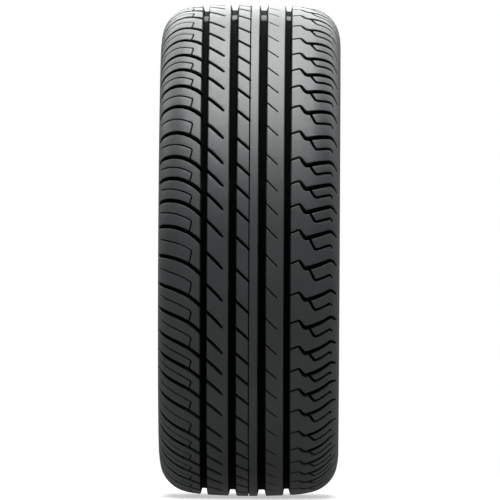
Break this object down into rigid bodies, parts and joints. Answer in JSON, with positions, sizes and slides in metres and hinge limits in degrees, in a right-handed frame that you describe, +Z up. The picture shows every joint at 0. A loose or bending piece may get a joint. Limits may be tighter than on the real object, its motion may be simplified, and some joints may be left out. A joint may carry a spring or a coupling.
{
  "type": "car tyre",
  "caption": "Low-profile road tyre for a passenger car, with wide grooves round the tread, slanted shoulder grooves, plain sidewalls, rim guards and open beads that seat on a wheel rim",
  "frame": {"origin": "centre of the wheel, on the spin axis in the middle of the rim width", "axes": "+Y along the spin axis, +Z up as the tyre stands on its tread, +X towards the tread seen in the picture"},
  "size_m": [0.634, 0.2308, 0.634],
  "materials": {
    "tyre": "matt black tread rubber"
  },
  "bodies": {
    "root": {"tyre": "tyre"}
  },
  "joints": []
}
